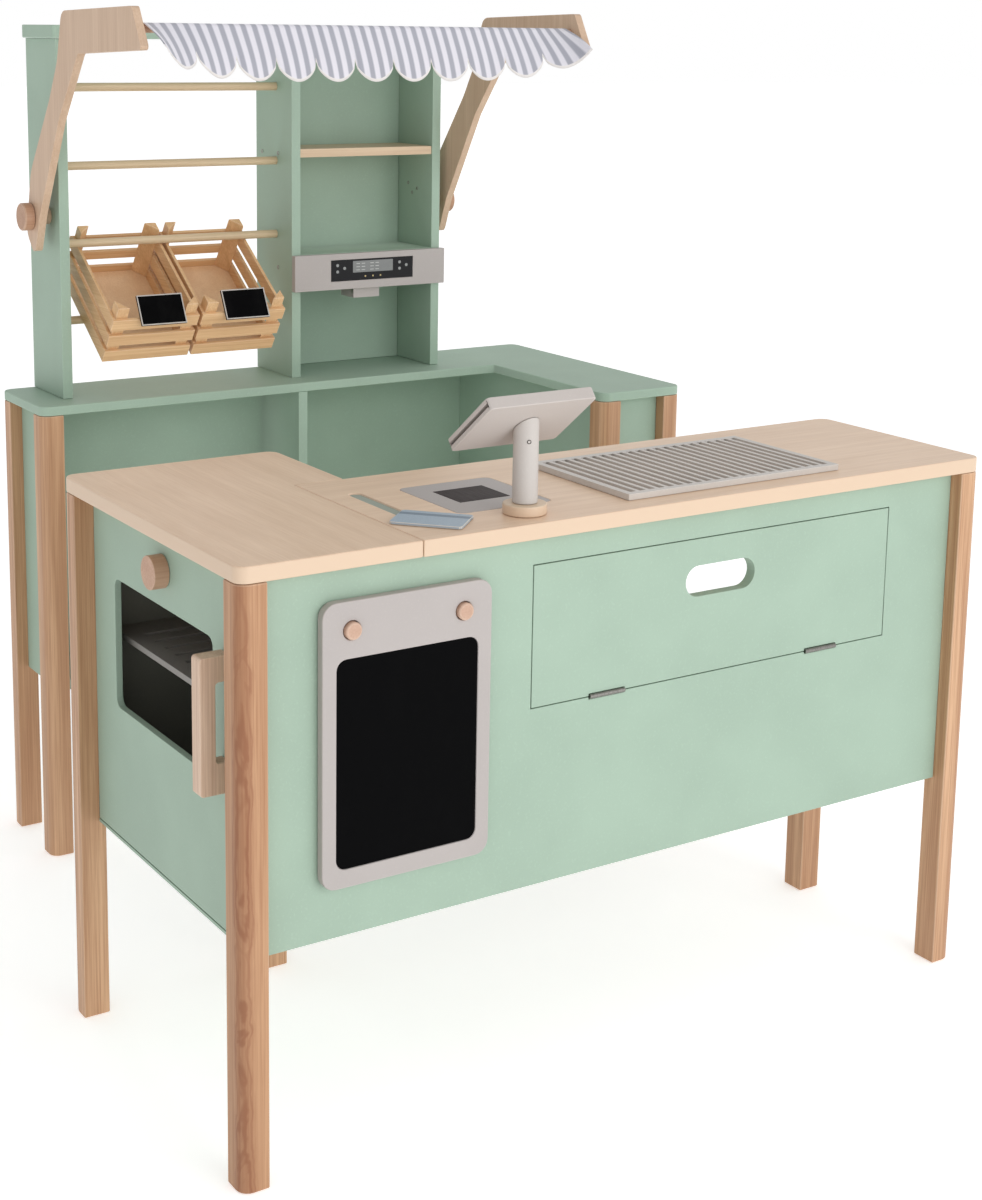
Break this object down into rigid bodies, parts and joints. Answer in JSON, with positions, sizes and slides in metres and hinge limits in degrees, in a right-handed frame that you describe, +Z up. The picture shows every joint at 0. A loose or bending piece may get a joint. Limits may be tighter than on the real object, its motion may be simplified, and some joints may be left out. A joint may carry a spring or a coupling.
{
  "type": "toy kitchen",
  "caption": "wooden play kitchen and shop: an L-shaped front counter with oven, flap and chalkboard, and a back counter with rods, crates, shelves and awning",
  "frame": {"origin": "on the floor, at the middle of the whole object's footprint", "axes": "+Z up, +Y from the front counter to the back counter, +X to the right along both counters, seen from the customer's side"},
  "size_m": [0.8594, 0.8657, 0.9936],
  "materials": {
    "sage_paint": "satin sage green paint on fibreboard",
    "birch_ply": "clear satin lacquer on birch plywood",
    "pine": "clear satin lacquer on pine",
    "beech": "clear satin lacquer on beech",
    "grey_paint": "satin warm grey paint",
    "light_grey_paint": "satin light grey paint",
    "chalk_black": "matt chalkboard black",
    "display_black": "glossy printed black",
    "card_blue": "satin blue-grey print on thin board",
    "steel": "bright zinc-plated",
    "awning_cloth": "plain weave cotton with grey stripes"
  },
  "bodies": {
    "counters": {"front_panel": "sage_paint", "front_end_panel": "sage_paint", "oven_carcass": "sage_paint", "back_worktop": "sage_paint", "back_carcass": "sage_paint", "back_wing_inner_panel": "sage_paint", "back_wing_front_panel": "sage_paint", "back_wing_outer_panel": "sage_paint", "post_board": "sage_paint", "tower_left_board": "sage_paint", "tower_right_board": "sage_paint", "tower_back": "sage_paint", "roof_board": "sage_paint", "front_worktop_run": "birch_ply", "front_worktop_wing": "birch_ply", "pos_base": "birch_ply", "front_leg_near_left": "pine", "front_leg_back_left": "pine", "front_leg_wing_right": "pine", "front_leg_near_right": "pine", "front_leg_back_right": "pine", "back_leg_near_left": "pine", "back_leg_far_left": "pine", "back_leg_wing_left": "pine", "back_leg_wing_right": "pine", "back_leg_far_right": "pine", "menu_peg_left": "beech", "menu_peg_right": "beech", "rack_rod_1": "beech", "rack_rod_2": "beech", "rack_rod_3": "beech", "rack_rod_4": "beech", "tower_wood_shelf": "beech", "control_panel": "grey_paint", "scanner_plate": "grey_paint", "oven_rack": "grey_paint", "control_display": "display_black", "scanner_glass": "display_black", "flap_hinge_left": "steel", "flap_hinge_right": "steel"},
    "oven_door": {"oven_door": "sage_paint", "oven_handle": "beech"},
    "oven_knob": {"oven_knob": "beech"},
    "serving_flap": {"serving_flap": "sage_paint"},
    "menu_board": {"menu_board": "grey_paint", "menu_chalk_panel": "chalk_black"},
    "awning": {"awning_arm_left": "beech", "awning_arm_right": "beech", "awning_rod": "beech", "awning_cloth": "awning_cloth"},
    "awning_clamp_left": {"awning_clamp_left": "beech"},
    "awning_clamp_right": {"awning_clamp_right": "beech"},
    "crate_left": {"crate_left": "pine", "crate_label_left": "chalk_black"},
    "crate_right": {"crate_right": "pine", "crate_label_right": "chalk_black"},
    "pos_reader": {"pos_post": "light_grey_paint", "pos_head": "grey_paint"},
    "payment_card": {"payment_card": "card_blue"},
    "serving_grate": {"serving_grate": "grey_paint"}
  },
  "joints": [
    {"name": "oven_door_hinge", "type": "hinge", "parent": "counters", "child": "oven_door", "pos_m": [-0.40175, -0.08335, 0.371], "axis": [0, 0, -1], "range_deg": [0, 88]},
    {"name": "oven_knob_turn", "type": "hinge", "parent": "oven_door", "child": "oven_knob", "pos_m": [-0.40775, -0.24425, 0.4988], "axis": [1, 0, 0], "continuous": true},
    {"name": "serving_flap_hinge", "type": "hinge", "parent": "counters", "child": "serving_flap", "pos_m": [0.0935, -0.41835, 0.3743], "axis": [1, 0, 0], "range_deg": [0, 170]},
    {"name": "menu_board_lift_off", "type": "slide", "parent": "counters", "child": "menu_board", "axis": [0, -1, 0], "range_m": [0, 0.03]},
    {"name": "awning_tilt", "type": "hinge", "parent": "counters", "child": "awning", "pos_m": [-0.01225, 0.36315, 0.7565], "axis": [1, 0, 0], "range_deg": [-35, 60]},
    {"name": "awning_clamp_left_turn", "type": "hinge", "parent": "counters", "child": "awning_clamp_left", "pos_m": [-0.29875, 0.36315, 0.7565], "axis": [1, 0, 0], "continuous": true},
    {"name": "awning_clamp_right_turn", "type": "hinge", "parent": "counters", "child": "awning_clamp_right", "pos_m": [0.27425, 0.36315, 0.7565], "axis": [1, 0, 0], "continuous": true},
    {"name": "crate_left_swing", "type": "hinge", "parent": "counters", "child": "crate_left", "pos_m": [-0.177, 0.37315, 0.7216], "axis": [-1, 0, 0], "range_deg": [0, 25]},
    {"name": "crate_right_swing", "type": "hinge", "parent": "counters", "child": "crate_right", "pos_m": [-0.0645, 0.37315, 0.7216], "axis": [-1, 0, 0], "range_deg": [0, 25]},
    {"name": "pos_reader_swivel", "type": "hinge", "parent": "counters", "child": "pos_reader", "pos_m": [-0.11925, -0.39635, 0.56], "axis": [0, 0, 1], "continuous": true},
    {"name": "payment_card_lift", "type": "slide", "parent": "counters", "child": "payment_card", "axis": [0, 0, 1], "range_m": [0, 0.05]},
    {"name": "serving_grate_lift", "type": "slide", "parent": "counters", "child": "serving_grate", "axis": [0, 0, 1], "range_m": [0, 0.08]}
  ]
}
